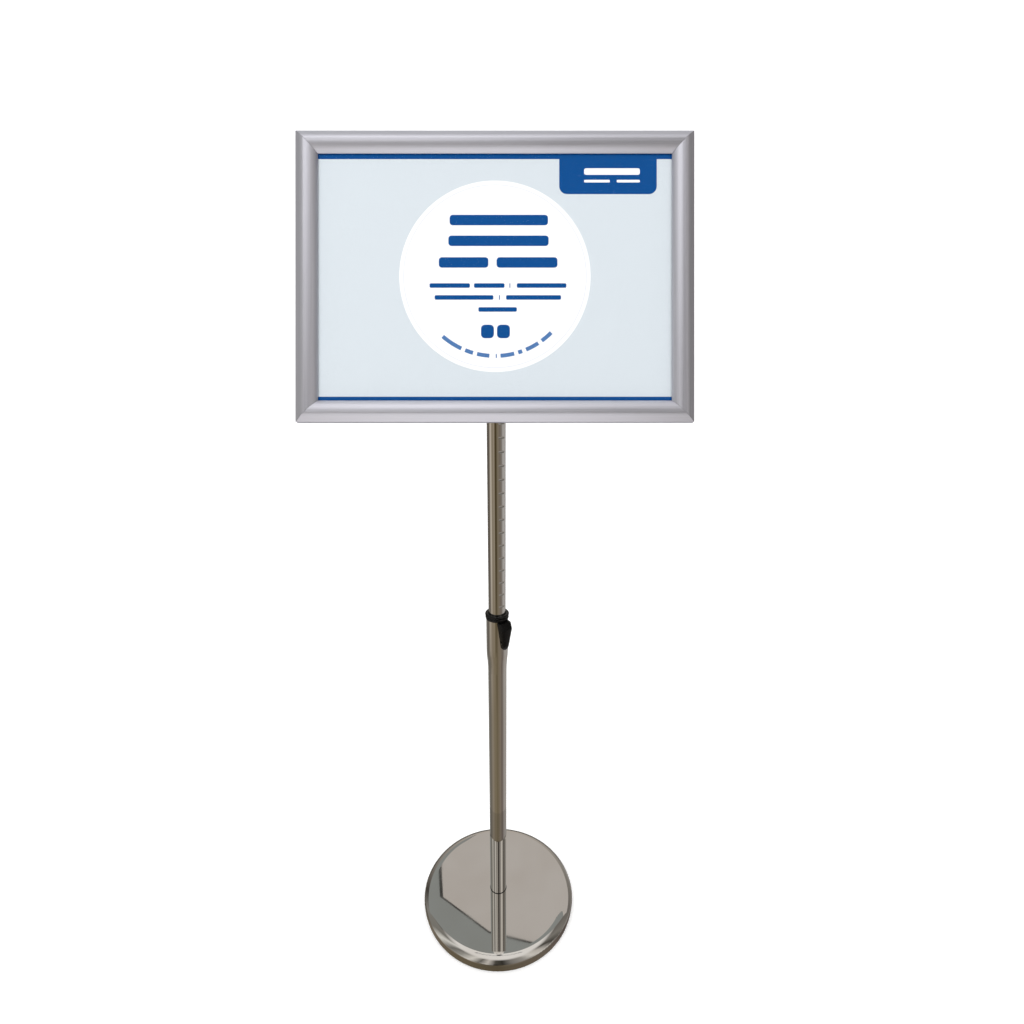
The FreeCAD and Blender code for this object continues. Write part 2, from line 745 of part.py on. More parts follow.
def fixed_section():
    """Back profile: a flange behind the sheet, an edge wall and the round hinge bead."""
    half = web_thickness / 2
    dip = math.sqrt(bead_radius ** 2 - half ** 2)
    angle = math.degrees(math.asin(dip / bead_radius))
    left = bead_u - half
    right = bead_u + half
    corners = [(left, bead_w - dip), (left, edge_height), (0, edge_height), (0, 0), (flange_width, 0),
               (flange_width, flange_thickness), (right, flange_thickness), (right, bead_w - dip)]
    edges = [section_line(a, b) for a, b in zip(corners, corners[1:])]
    edges.append(section_arc((bead_u, bead_w), bead_radius, -angle, 180 + angle))
    return edges


def rail_lines():
    """Centres, radii and tangent angle that shape the snap rail's shell."""
    start = on_circle((bead_u, bead_w), hook_outer, hook_edge)
    roll_centre = (crest_u, frame_depth - bevel_roll)
    away = (start[0] - roll_centre[0], start[1] - roll_centre[1])
    bearing = math.degrees(math.atan2(away[1], away[0])) % 360
    tangent = bearing - math.degrees(math.acos(bevel_roll / math.hypot(*away)))
    lip_top = cover_front + lip_play + lip_thickness
    run = profile_width - crest_u
    drop = frame_depth - lip_top
    slope_radius = (run ** 2 + drop ** 2) / (2 * drop)
    slope_centre = (crest_u, frame_depth - slope_radius)
    lip_angle = math.degrees(math.atan2(lip_top - slope_centre[1], run))
    return start, roll_centre, tangent, slope_centre, slope_radius, lip_angle


def rail_shell_section():
    """Bevel, crest, inner slope and lip of a snap rail, and the upper part of its hook."""
    start, roll_centre, tangent, slope_centre, slope_radius, lip_angle = rail_lines()
    hinge = (bead_u, bead_w)
    bevel_end = on_circle(roll_centre, bevel_roll, tangent)
    lip_top = on_circle(slope_centre, slope_radius, lip_angle)
    lip_tip = (lip_top[0] - lip_lean, cover_front + lip_play)
    lip_under = on_circle(slope_centre, slope_radius - rail_wall, lip_angle)
    bevel_under = on_circle(roll_centre, bevel_roll - rail_wall, tangent)
    root_out = on_circle(hinge, hook_outer, hook_root)
    root_in = on_circle(hinge, hook_inner, hook_root)
    edge_in = on_circle(hinge, hook_inner, hook_edge)
    return [
        section_line(start, bevel_end),
        section_arc(roll_centre, bevel_roll, tangent, 90),
        section_arc(slope_centre, slope_radius, 90, lip_angle),
        section_line(lip_top, lip_tip),
        section_line(lip_tip, lip_under),
        section_arc(slope_centre, slope_radius - rail_wall, lip_angle, 90),
        section_arc(roll_centre, bevel_roll - rail_wall, 90, tangent),
        section_line(bevel_under, root_out),
        section_line(root_out, root_in),
        section_arc(hinge, hook_inner, hook_root, hook_edge),
        section_line(edge_in, start),
    ]


def rail_hook_section():
    """Lower part of the hook, under the bead's inner side."""
    hinge = (bead_u, bead_w)
    return [
        section_arc(hinge, hook_outer, hook_open_end, hook_root),
        section_line(on_circle(hinge, hook_outer, hook_root), on_circle(hinge, hook_inner, hook_root)),
        section_arc(hinge, hook_inner, hook_root, hook_open_end),
        section_line(on_circle(hinge, hook_inner, hook_open_end),
                     on_circle(hinge, hook_outer, hook_open_end)),
    ]


def leaf_section():
    """Leaf spring between the flange and the underside of a rail."""
    foot = profile_width - sheet_overlap - leaf_inset
    knee = foot - leaf_foot
    tip = (bead_u + hook_outer + leaf_from_hook, frame_depth - rail_wall - leaf_from_rail)
    low = flange_thickness
    high = low + spring_gauge
    points = [(foot, low), (knee, low), (tip[0] - leaf_end_cut[0], tip[1] - leaf_end_cut[1]), tip,
              (knee + leaf_bend, high), (foot, high)]
    return [section_line(a, b) for a, b in zip(points, points[1:] + points[:1])]


SIDES = {
    "top": (frame_width, frame_height / 2, 0, long_spring),
    "left": (frame_height, frame_width / 2, 90, short_spring),
    "bottom": (frame_width, frame_height / 2, 180, long_spring),
    "right": (frame_height, frame_width / 2, 270, short_spring),
}


def on_side(shape, side):
    """Move a bar built along the top edge's line to its side of the frame."""
    offset, turn = SIDES[side][1:3]
    shape = shape.copy()
    shape.translate(V(0, offset, frame_back))
    shape.rotate(V(0, 0, 0), UP, turn)
    return lean(shape)


def bar_screw_places():
    """Screws that hold the cross bar to the upper and lower profiles, (x, y)."""
    reach = frame_height / 2 - (flange_width + bead_u + web_thickness) / 2 - bar_screw_shift
    half = bar_screw_spacing / 2
    return [(x, y) for y in (-reach, reach) for x in (-half, half)]


def key_screw_places():
    """Screws of the corner keys, (x, y)."""
    inset = key_inset + key_width / 2
    x = frame_width / 2 - inset
    y = frame_height / 2 - inset
    run = key_leg - key_width / 2 - key_screw_end
    places = []
    for sx in (-1, 1):
        for sy in (-1, 1):
            places += [(sx * (x - run), sy * y), (sx * x, sy * (y - run))]
    return places


def drilled(profile, places, size):
    """Drill the screw holes that fall on one side's profile."""
    top = frame_back + flange_thickness + spare
    for place in places:
        profile = profile.cut(lean(cylinder(size / 2, frame_back - spare, top, place)))
    return profile


def back_profile(side):
    """Fixed aluminium extrusion of one side."""
    length = SIDES[side][0]
    bar = on_side(mitred(extruded(fixed_section(), length), length, profile_mitre_gap), side)
    bar = drilled(bar, key_screw_places(), key_screw_size)
    if side in ("top", "bottom"):
        bar = drilled(bar, bar_screw_places(), bar_screw_size)
    return bar


def snap_rail(side):
    """Hinged aluminium extrusion of one side that clamps the sheet."""
    length = SIDES[side][0]
    shell = mitred(extruded(rail_shell_section(), length), length, mitre_gap)
    hook_end = bead_u + hook_outer + hook_cutback
    hook = extruded(rail_hook_section(), length - 2 * hook_end)
    return on_side(shell.fuse(hook), side)


def leaf_springs(side):
    """Two leaf springs that hold one rail shut or open."""
    length, _, _, spring = SIDES[side]
    leaves = []
    for place in (-length / 4, length / 4):
        leaf = extruded(leaf_section(), spring)
        leaf.translate(V(place, 0, 0))
        leaves.append(leaf)
    return on_side(Part.makeCompound(leaves), side)


def corner_keys():
    """Steel angles that join the fixed profiles at the corners."""
    keys = []
    x = frame_width / 2 - key_inset
    y = frame_height / 2 - key_inset
    low = frame_back + flange_thickness
    for sx in (-1, 1):
        for sy in (-1, 1):
            outline = [(x, y), (x - key_leg, y), (x - key_leg, y - key_width),
                       (x - key_width, y - key_width), (x - key_width, y - key_leg), (x, y - key_leg)]
            key = prism([V(sx * a, sy * b, low) for a, b in outline], V(0, 0, key_thickness))
            for px, py in key_screw_places():
                hole = cylinder(key_screw_size / 2, low - spare, low + key_thickness + spare, (px, py))
                key = key.cut(hole)
            keys.append(key)
    return lean(Part.makeCompound(keys))


def corner_screws():
    """Pan head screws down through the corner keys into the flanges."""
    screws = []
    top = frame_back + flange_thickness + key_thickness
    for place in key_screw_places():
        shank = cylinder(key_screw_size / 2, frame_back, top, place)
        screws.append(shank.fuse(cylinder(key_head_diameter / 2, top, top + key_head_height, place)))
    return lean(Part.makeCompound(screws))


def cross_bar():
    """Steel strip across the back from the lower to the upper profile."""
    half = frame_height / 2 - cross_bar_inset
    bar = box((-cross_bar_width / 2, cross_bar_width / 2), (-half, half), (bar_back, frame_back))
    corners = [e for e in bar.Edges if abs(e.tangentAt(0).z) > 0.9]
    bar = bar.makeFillet(cross_bar_corner, corners)
    for place in bar_screw_places():
        bar = bar.cut(cylinder(bar_screw_size / 2, bar_back - spare, frame_back + spare, place))
    return lean(bar.cut(cylinder(swivel_size / 2, bar_back - spare, frame_back + spare)))


def bar_screws():
    """Pan head screws of the cross bar, driven from behind."""
    screws = []
    for place in bar_screw_places():
        x, y = place
        low = bar_back - bar_head_height
        shank = cylinder(bar_screw_size / 2, bar_back, frame_back + bar_screw_reach, place)
        head = cylinder(bar_head_diameter / 2, low, bar_back, place)
        slot = box((x - slot_width / 2, x + slot_width / 2), (y - slot_length / 2, y + slot_length / 2),
                   (low - spare, low + slot_depth))
        screws.append(shank.fuse(head).cut(slot))
    return lean(Part.makeCompound(screws))


def flat_sheet(low, high):
    """Sheet of the poster's size between two depths of the frame."""
    return lean(box((-sheet_width / 2, sheet_width / 2), (-sheet_height / 2, sheet_height / 2),
                    (frame_back + low, frame_back + high)))


def main():
    pieces = {
        "floor_pad": floor_pad(),
        "base_weight": base_weight(),
        "base_cover": base_cover(),
        "edge_trim": edge_trim(),
        "base_washer": base_washer(),
        "base_bolt": base_bolt(),
        "tube_gasket": tube_gasket(),
        "tube_plug": tube_plug(),
        "outer_tube": outer_tube(),
        "guide_sleeve": guide_sleeve(),
        "collar": collar(),
        "latch_slider": latch_slider(),
        "latch_spring": latch_spring(),
        "lock_pin": lock_pin(),
        "inner_tube": inner_tube(),
        "foot_bush": foot_bush(),
        "mast_plug": mast_plug(),
        "tilt_bracket": tilt_bracket(),
        "tilt_bolt": tilt_bolt(),
        "tilt_washers": tilt_washers(),
        "tilt_knob": tilt_knob(),
        "knob_insert": knob_insert(),
        "friction_washer": friction_washer(),
        "swivel_stud": swivel_stud(),
        "swivel_washer": swivel_washer_ring(),
        "swivel_nut": swivel_nut(),
        "cross_bar": cross_bar(),
        "cross_bar_screws": bar_screws(),
        "corner_keys": corner_keys(),
        "corner_screws": corner_screws(),
        "back_panel": flat_sheet(flange_thickness, panel_front),
        "poster": flat_sheet(panel_front, poster_front),
        "cover_sheet": flat_sheet(poster_front, cover_front),
    }
    for side in SIDES:
        pieces["back_profile_" + side] = back_profile(side)
        pieces["snap_rail_" + side] = snap_rail(side)
        pieces["rail_springs_" + side] = leaf_springs(side)
    os.makedirs("parts", exist_ok=True)
    for name, shape in pieces.items():
        shape.exportStep("parts/" + name + ".step")
        print(name, len(shape.Solids), shape.isValid(), round(shape.Volume, 1))


main()
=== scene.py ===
import json
import math

import bmesh
import bpy
from mathutils import Matrix, Vector

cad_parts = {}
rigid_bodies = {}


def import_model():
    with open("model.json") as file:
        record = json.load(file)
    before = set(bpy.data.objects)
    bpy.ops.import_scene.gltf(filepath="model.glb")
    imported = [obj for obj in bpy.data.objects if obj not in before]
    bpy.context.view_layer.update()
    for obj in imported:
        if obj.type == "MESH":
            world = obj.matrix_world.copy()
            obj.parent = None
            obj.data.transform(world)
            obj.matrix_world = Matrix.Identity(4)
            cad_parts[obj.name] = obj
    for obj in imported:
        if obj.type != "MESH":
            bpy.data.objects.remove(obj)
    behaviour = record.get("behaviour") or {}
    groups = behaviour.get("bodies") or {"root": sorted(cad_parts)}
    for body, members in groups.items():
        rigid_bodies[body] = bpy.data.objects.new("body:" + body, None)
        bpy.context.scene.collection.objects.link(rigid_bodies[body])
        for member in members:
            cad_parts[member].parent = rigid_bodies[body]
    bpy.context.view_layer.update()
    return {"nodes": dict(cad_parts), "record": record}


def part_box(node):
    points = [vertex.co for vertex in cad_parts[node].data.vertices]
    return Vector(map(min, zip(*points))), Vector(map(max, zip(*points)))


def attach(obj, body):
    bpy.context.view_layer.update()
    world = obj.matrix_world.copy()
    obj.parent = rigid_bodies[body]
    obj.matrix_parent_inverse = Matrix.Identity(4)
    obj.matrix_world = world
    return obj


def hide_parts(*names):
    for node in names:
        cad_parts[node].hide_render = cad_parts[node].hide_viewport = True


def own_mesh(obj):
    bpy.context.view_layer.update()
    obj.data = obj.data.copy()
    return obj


# A floor sign stand: a round weighted foot, a telescopic chromed pole with a push-down height
# latch, and a landscape snap frame for a printed sheet that tilts and turns on the pole.
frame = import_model()
joints = {joint["name"]: joint for joint in frame["record"]["behaviour"]["joints"]}


# ---------------------------------------------------------------- camera and studio
# The camera stands at the height of a seated eye, close in front, and looks down at the foot.
# The studio is a pale floor that sweeps up behind, two large soft boxes and a dim warm room
# round them, painted on the world as painted reflections that only the chrome mirrors.

def node(tree, kind, inputs=None, **settings):
    """Add one node; inputs holds constants or links by socket name or number."""
    made = tree.nodes.new(kind)
    for name, value in settings.items():
        setattr(made, name, value)
    for socket, value in (inputs or {}).items():
        if isinstance(value, bpy.types.NodeSocket):
            tree.links.new(value, made.inputs[socket])
        else:
            made.inputs[socket].default_value = value
    return made


def linear(colour):
    """sRGB hex to a linear RGBA tuple."""
    parts = [int(colour[i:i + 2], 16) / 255 for i in (0, 2, 4)]
    return tuple(c / 12.92 if c <= 0.04045 else ((c + 0.055) / 1.055) ** 2.4 for c in parts) + (1.0,)


def surface(name, colour, roughness, metallic=0.0, **constants):
    """New material with constant values on its shader; returns material, tree and shader."""
    made = bpy.data.materials.new(name)
    made.use_nodes = True
    tree = made.node_tree
    shader = tree.nodes["Principled BSDF"]
    shader.inputs["Base Color"].default_value = linear(colour)
    shader.inputs["Roughness"].default_value = roughness
    shader.inputs["Metallic"].default_value = metallic
    for socket, value in constants.items():
        shader.inputs[socket.replace("_", " ")].default_value = value
    return made, tree, shader


def ramp(tree, factor, stops):
    """Colour ramp over (position, hex) stops."""
    made = node(tree, "ShaderNodeValToRGB", {0: factor})
    elements = made.color_ramp.elements
    while len(elements) < len(stops):
        elements.new(0.5)
    for element, (place, colour) in zip(elements, stops):
        element.position = place
        element.color = linear(colour)
    return made.outputs[0]


def mesh_object(name, vertices, faces, crease_degrees=35):
    """New object from vertices in metres, smooth except across creases."""
    mesh = bpy.data.meshes.new(name)
    mesh.from_pydata([tuple(v) for v in vertices], [], faces)
    mesh.validate()
    mesh.polygons.foreach_set("use_smooth", [True] * len(mesh.polygons))
    mesh.set_sharp_from_angle(angle=math.radians(crease_degrees))
    made = bpy.data.objects.new(name, mesh)
    bpy.context.scene.collection.objects.link(made)
    return made


camera_data = bpy.data.cameras.new("camera")
camera = bpy.data.objects.new("camera", camera_data)
bpy.context.scene.collection.objects.link(camera)
bpy.context.scene.camera = camera
camera_data.lens = 21.168
camera_data.sensor_width = 36.0
camera_data.shift_x = 0.0069
camera_data.clip_start = 0.05
camera.location = (0.0115, -0.7809, 1.0038)
camera.rotation_euler = (math.radians(90 - 19.579), 0, 0)
bpy.context.scene.view_settings.view_transform = "Standard"

sweep_reach, sweep_start, sweep_radius, sweep_height = 9.0, 2.5, 1.5, 6.0
sweep_line = [(-sweep_reach, 0.0), (sweep_start, 0.0)]
for i in range(1, 25):
    turn = math.radians(90 * i / 24)
    sweep_line.append((sweep_start + sweep_radius * math.sin(turn), sweep_radius * (1 - math.cos(turn))))
sweep_line.append((sweep_start + sweep_radius, sweep_height))
sweep_points = [(x, y, z) for y, z in sweep_line for x in (-sweep_reach, sweep_reach)]
sweep_faces = [(2 * i, 2 * i + 1, 2 * i + 3, 2 * i + 2) for i in range(len(sweep_line) - 1)]
floor = mesh_object("studio_floor", sweep_points, sweep_faces)
floor_paint, _, floor_shader = surface("floor paint, rolled matt", "FCFCFB", 0.8)
floor_shader.inputs["Specular IOR Level"].default_value = 0.1
floor_shader.inputs["Emission Color"].default_value = linear("FFFFFF")
floor_shader.inputs["Emission Strength"].default_value = 0.3
floor.data.materials.append(floor_paint)
floor.visible_glossy = False

world = bpy.data.worlds.new("studio")
bpy.context.scene.world = world
world.use_nodes = True
sky = world.node_tree
sky.nodes.clear()
axes = node(sky, "ShaderNodeSeparateXYZ", {0: node(sky, "ShaderNodeTexCoord").outputs["Generated"]})
toward_front = node(sky, "ShaderNodeMath", {0: axes.outputs[1], 1: -1.0}, operation="MULTIPLY")
bearing = node(sky, "ShaderNodeMath", {0: axes.outputs[0], 1: toward_front.outputs[0]}, operation="ARCTAN2")
bearing = node(sky, "ShaderNodeMapRange", {0: bearing.outputs[0], 1: -math.pi, 2: math.pi}).outputs[0]


def at(degrees):
    """Place on the room's ramps of a bearing, 0 in front and positive to the right."""
    return 0.5 + degrees / 360


# Painted reflections: bands of the room's tones by bearing, painted for the chrome to mirror.
low_room = ramp(sky, bearing, [
    (at(-180), "3A3733"), (at(-150), "5C5853"), (at(-135), "75706A"), (at(-118), "5A534B"),
    (at(-105), "554D45"), (at(-90), "918A80"), (at(-74), "C6BDAF"), (at(-66), "AEA497"),
    (at(-58), "8C8373"), (at(-45), "877C6B"), (at(-31), "978D7D"), (at(-24), "8A7F6E"),
    (at(-18), "534934"), (at(-6), "433924"), (at(1), "5A4F3D"), (at(7), "716856"),
    (at(19), "7F7566"), (at(45), "726960"), (at(58), "7B756C"), (at(72), "827D78"),
    (at(86), "A8A5A3"), (at(98), "B5B2B0"), (at(110), "8E8B88"), (at(124), "AFADAA"),
    (at(138), "B8B6B4"), (at(152), "7D7A76"), (at(180), "3A3733")])
knee_stops = [
    (at(-180), "9A9892"), (at(-146), "A09F99"), (at(-117), "6A6660"), (at(-96), "6F6A61"),
    (at(-79), "7D766A"), (at(-64), "8D8374"), (at(-50), "847A6A"), (at(-37), "7C715D"),
    (at(-24), "7C715D"), (at(-12), "746A55"), (at(0), "6C614D"), (at(12), "776C5A"),
    (at(25), "7B7061"), (at(37), "7F7568"), (at(50), "736860"), (at(64), "6A605A"),
    (at(79), "8F8882"), (at(96), "9C9691"), (at(117), "A29D99"), (at(150), "9A9792"),
    (at(180), "9A9892")]
knee_room = ramp(sky, bearing, knee_stops)
high_room = ramp(sky, bearing, [
    (at(-180), "CFC8C0"), (at(-128), "4A4743"), (at(-112), "8F8D88"), (at(-94), "8A8983"),
    (at(-80), "EFEFEA"), (at(-64), "7E7C78"), (at(-50), "A9A8A3"), (at(-36), "F0EEE9"),
    (at(-24), "76746F"), (at(-14), "D8D4CE"), (at(-4), "55524C"), (at(6), "3A3833"),
    (at(18), "8A8783"), (at(34), "A9A6A1"), (at(46), "E9E6E1"), (at(60), "D3CFC9"),
    (at(74), "4E4B46"), (at(90), "8B8882"), (at(112), "7A7672"), (at(140), "918D87"), (at(180), "CFC8C0")])

# From the low room down or up, each layer of the room blends in over a span of slope.
room = low_room
for start, full, layer in ((-0.40, -0.62, knee_room), (-0.08, 0.08, high_room),
                           (0.84, 0.93, linear("FAF8F5")), (-0.80, -0.90, linear("F0EFEF"))):
    share = node(sky, "ShaderNodeMapRange", {0: axes.outputs[2], 1: start, 2: full}).outputs[0]
    room = node(sky, "ShaderNodeMix", {0: share, 6: room, 7: layer}, data_type="RGBA").outputs[2]

# The wall and ceiling behind the stand, as the flat top of the foot mirrors them: a pale wall
# on the right of an edge and below a cornice line, and a cooler, darker ceiling past them.
side_way = node(sky, "ShaderNodeMath", {0: axes.outputs[0], 1: axes.outputs[1]},
                operation="DIVIDE").outputs[0]
rise = node(sky, "ShaderNodeMath", {0: axes.outputs[2], 1: axes.outputs[1]},
            operation="DIVIDE").outputs[0]
wall_side = -0.141
wall_tops = ((1.06, 1.437), (0.353, 1.411))
cornice = 0.007


def wall_part(margin):
    """1 where a direction falls on the wall, grown all round by a margin."""
    part = node(sky, "ShaderNodeMath", {0: side_way, 1: wall_side - margin},
                operation="GREATER_THAN").outputs[0]
    for slope, height in wall_tops:
        line = node(sky, "ShaderNodeMath", {0: side_way, 1: slope, 2: height + margin},
                    operation="MULTIPLY_ADD").outputs[0]
        under = node(sky, "ShaderNodeMath", {0: rise, 1: line}, operation="LESS_THAN").outputs[0]
        part = node(sky, "ShaderNodeMath", {0: part, 1: under}, operation="MULTIPLY").outputs[0]
    return part


edged = node(sky, "ShaderNodeMix", {0: wall_part(cornice), 6: linear("989C9A"), 7: linear("4A4A48")},
             data_type="RGBA").outputs[2]
wall = node(sky, "ShaderNodeMix", {0: wall_part(0), 6: edged, 7: linear("CAC5C0")},
            data_type="RGBA").outputs[2]
behind = node(sky, "ShaderNodeMath", {0: axes.outputs[1], 1: 0.3}, operation="GREATER_THAN").outputs[0]
high_up = node(sky, "ShaderNodeMath", {0: axes.outputs[2], 1: 0.45}, operation="GREATER_THAN").outputs[0]
there = node(sky, "ShaderNodeMath", {0: behind, 1: high_up}, operation="MULTIPLY").outputs[0]
room = node(sky, "ShaderNodeMix", {0: there, 6: room, 7: wall}, data_type="RGBA").outputs[2]
# Glossy rays see the painted room, so the chrome shows painted reflections; all other rays see an even pale
# fill.
mirrored = node(sky, "ShaderNodeBackground", {0: room, 1: 1.0})
soft_fill = node(sky, "ShaderNodeBackground", {0: linear("FAFAFC"), 1: 0.78})
ray = node(sky, "ShaderNodeLightPath")
either = node(sky, "ShaderNodeMixShader", {0: ray.outputs["Is Glossy Ray"], 1: soft_fill.outputs[0],
                                           2: mirrored.outputs[0]})
node(sky, "ShaderNodeOutputWorld", {0: either.outputs[0]})


def soft_box(name, place, target, size, watts):
    """Square soft box aimed at a point; the chrome doesn't mirror it."""
    data = bpy.data.lights.new(name, "AREA")
    data.shape = "SQUARE"
    data.size = size
    data.energy = watts
    lamp = bpy.data.objects.new(name, data)
    lamp.location = place
    lamp.rotation_euler = (Vector(target) - Vector(place)).to_track_quat("-Z", "Y").to_euler()
    lamp.visible_glossy = False
    bpy.context.scene.collection.objects.link(lamp)
    return lamp


soft_box("key_box", (-1.3, -2.0, 2.6), (0, 0, 0.8), 1.4, 26)
soft_box("fill_box", (1.6, -1.2, 2.9), (0, 0, 0.6), 1.2, 9)

# Two boxes that only the satin bars of the frame mirror, one above and one in front, lower down.
bars_only = bpy.data.collections.new("satin bars")
for lamp in (soft_box("bar_box_top", (-0.35, -0.9, 2.4), (0, 0, 1.0), 1.2, 5),
             soft_box("bar_box_low", (-0.15, -1.7, 0.1), (0, 0, 1.0), 1.9, 14)):
    lamp.visible_glossy = True
    lamp.light_linking.receiver_collection = bars_only

# One box behind the stand that only the back of the frame mirrors.
back_only = bpy.data.collections.new("back of the frame")
back_box = soft_box("back_box", (0.7, 1.9, 0.5), (0, 0, 1.0), 1.8, 14)
back_box.visible_glossy = True
back_box.light_linking.receiver_collection = back_only

# A ring round the foot that only the chrome mirrors: it glows with a painted reflection of the floor,
# warm and dim like the rest, with the room's painted lights and shades drawn out over it.
ring_inner, ring_outer, ring_lift, ring_steps = 0.128, 0.21, 0.0004, 64
ring_points, ring_faces = [], []
for i in range(ring_steps):
    a = 2 * math.pi * i / ring_steps
    ring_points += [(r * math.cos(a), r * math.sin(a), ring_lift) for r in (ring_inner, ring_outer)]
    j = (i + 1) % ring_steps
    ring_faces.append((2 * i, 2 * i + 1, 2 * j + 1, 2 * j))
floor_ring = mesh_object("mirrored_floor_ring", ring_points, ring_faces)
floor_reflection_paint, ring_tree, ring_shader = surface("painted floor reflection, glowing", "000000", 1.0)
ring_axes = node(ring_tree, "ShaderNodeSeparateXYZ",
                 {0: node(ring_tree, "ShaderNodeTexCoord").outputs["Object"]})
ring_front = node(ring_tree, "ShaderNodeMath", {0: ring_axes.outputs[1], 1: -1.0}, operation="MULTIPLY")
ring_bearing = node(ring_tree, "ShaderNodeMath", {0: ring_axes.outputs[0], 1: ring_front.outputs[0]},
                    operation="ARCTAN2")
ring_bearing = node(ring_tree, "ShaderNodeMapRange", {0: ring_bearing.outputs[0], 1: -math.pi, 2: math.pi})
# The ring glows in the painted room's tones: a painted reflection, not a lamp.
painted_reflection_glow = ramp(ring_tree, ring_bearing.outputs[0], knee_stops)
ring_tree.links.new(painted_reflection_glow, ring_shader.inputs["Emission Color"])
ring_shader.inputs["Emission Strength"].default_value = 0.8
floor_ring.data.materials.append(floor_reflection_paint)
floor_ring.visible_camera = floor_ring.visible_diffuse = floor_ring.visible_shadow = False
floor_ring.visible_transmission = False


# ---------------------------------------------------------------- foot
# A pressed steel cover over a cast iron disc, which a bolt holds to the pole. The cover is
# polished and chromed all over; a ring of soft rubber stands on the floor.

def dress(material, *names):
    """Give frame nodes a material."""
    for name in names:
        for slot in frame["nodes"][name].material_slots:
            slot.material = material


def place_in(tree, grain, stretch=(1, 1, 1), turn=(0, 0, 0)):
    """Object coordinates scaled so that one unit is a grain in millimetres, drawn out by stretch."""
    size = [grain / 1000 * s for s in stretch]
    place = {0: node(tree, "ShaderNodeTexCoord").outputs["Object"], 2: turn, 3: size}
    return node(tree, "ShaderNodeMapping", place, vector_type="TEXTURE").outputs[0]


noise_low, noise_high = 0.3, 0.7


def vary(tree, shader, place, colours, roughness, depth=0.0, detail=3.0):
    """Noise at a place that shifts colour and roughness and raises a bump of depth millimetres."""
    noise = node(tree, "ShaderNodeTexNoise", {"Vector": place, "Scale": 1.0, "Detail": detail}).outputs[0]
    colour = ramp(tree, noise, [(noise_low, colours[0]), (noise_high, colours[1])])
    tree.links.new(colour, shader.inputs["Base Color"])
    rough = {0: noise, 1: noise_low, 2: noise_high, 3: roughness[0], 4: roughness[1]}
    tree.links.new(node(tree, "ShaderNodeMapRange", rough).outputs[0], shader.inputs["Roughness"])
    if depth:
        bump = node(tree, "ShaderNodeBump", {"Distance": depth / 1000, "Height": noise})
        tree.links.new(bump.outputs[0], shader.inputs["Normal"])


# Chromium plate on polished sheet: a warm mirror with the faint swell that polishing leaves.
foot_chrome, tree, shader = surface("chromium plate, polished sheet", "D5D1CC", 0.02, 1.0)
vary(tree, shader, place_in(tree, 60), ("D3CFCA", "D8D5D1"), (0.012, 0.03), 0.008, 1.0)
dress(foot_chrome, "base_cover")

# Cast iron in black primer: pitted and dull.
cast_iron, tree, shader = surface("cast iron, sand cast and primed", "1C1C1B", 0.75)
vary(tree, shader, place_in(tree, 1.6), ("161615", "262523"), (0.65, 0.9), 0.25, 6.0)
dress(cast_iron, "base_weight")

# Soft rubber, moulded: nearly black and matt, with a fine grain and a bloom of dust.
soft_rubber, tree, shader = surface("rubber, moulded matt", "161616", 0.85)
vary(tree, shader, place_in(tree, 0.6), ("121212", "232322"), (0.75, 0.95), 0.05, 5.0)
dress(soft_rubber, "floor_pad", "edge_trim")

# Zinc plated steel: a bluish grey with passivated patches of faint yellow.
zinc_steel, tree, shader = surface("zinc plate, passivated steel", "B9BCC0", 0.32, 1.0)
vary(tree, shader, place_in(tree, 2.5), ("AEB3BA", "C2BEB2"), (0.25, 0.42), 0.01, 4.0)
dress(zinc_steel, "base_bolt", "base_washer")


# ---------------------------------------------------------------- outer tube
# Drawn steel tube, swaged wider at its mouth and chromed. A threaded plug in its lower end
# takes the foot bolt, and a thin black ring keeps it off the foot's chrome.

# Chromium plate on drawn tube: a mirror with faint streaks along the tube from drawing it.
tube_chrome, tree, shader = surface("chromium plate, drawn tube", "EFEDEA", 0.03, 1.0)
vary(tree, shader, place_in(tree, 1.2, (1, 1, 60)), ("ECE9E5", "F2F0ED"), (0.02, 0.045), 0.002, 2.0)
dress(tube_chrome, "outer_tube")
dress(zinc_steel, "tube_plug")

# Black gasket sheet, cut: flat and dull.
gasket_sheet, tree, shader = surface("rubber sheet, die cut", "0E0E0E", 0.7)
vary(tree, shader, place_in(tree, 0.4), ("0B0B0B", "191919"), (0.6, 0.8), 0.03)
dress(gasket_sheet, "tube_gasket")


# ---------------------------------------------------------------- guide sleeve and collar
# The sleeve is machined from acetal and pressed into the tube's mouth; its boss guides the
# latch. The collar is a gloss black moulding with two beads that snaps over the rim.

def arc(centre, radius, start, end, steps):
    """Points of an arc round (radius, height), angles in degrees."""
    turns = [math.radians(start + (end - start) * i / steps) for i in range(steps + 1)]
    return [(centre[0] + radius * math.cos(a), centre[1] + radius * math.sin(a)) for a in turns]


def lathe(name, outline, steps=128):
    """Closed (radius, height) outline in millimetres turned round the pole's axis."""
    count = len(outline)
    points = []
    for i in range(steps):
        a = 2 * math.pi * i / steps
        points += [(r * math.cos(a) / 1000, r * math.sin(a) / 1000, z / 1000) for r, z in outline]
    faces = []
    for i in range(steps):
        j = (i + 1) % steps
        for k in range(count):
            m = (k + 1) % count
            faces.append((i * count + k, j * count + k, j * count + m, i * count + m))
    return mesh_object(name, points, faces)


